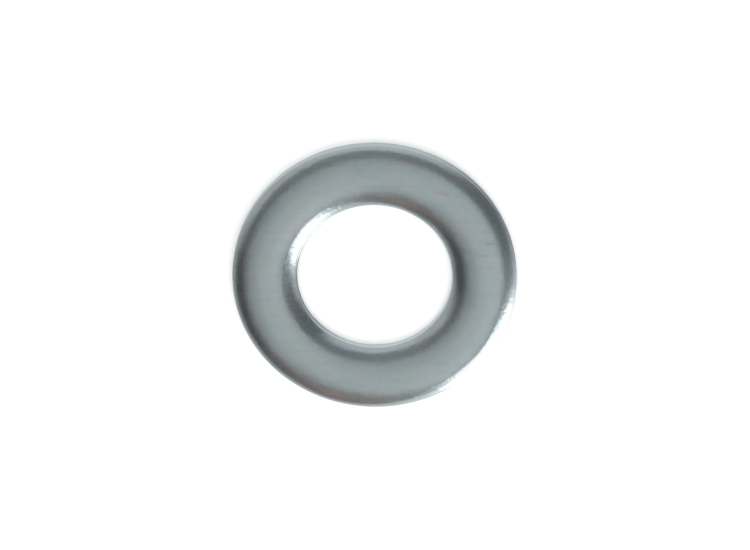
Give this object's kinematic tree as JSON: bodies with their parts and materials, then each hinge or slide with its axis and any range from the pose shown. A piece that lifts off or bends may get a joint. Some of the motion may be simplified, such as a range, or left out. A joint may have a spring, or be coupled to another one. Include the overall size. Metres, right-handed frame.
{
  "type": "flat washer",
  "caption": "Thin round steel ring with a plain clear bore and rounded upper edges; spreads the load under a bolt head or nut.",
  "frame": {"origin": "on the bore axis, in the plane of the flat seat on the burr side", "axes": "+Z along the bore axis from the seat towards the face with the rounded edges; X and Y are free, because the washer is round"},
  "size_m": [0.0239, 0.0238, 0.0016],
  "materials": {
    "zinc_plated_steel": "bright zinc plating with a clear blue-grey passivation over stamped steel: satin gloss, faintly cloudy, small tumbling marks"
  },
  "bodies": {
    "root": {"washer": "zinc_plated_steel"}
  },
  "joints": []
}
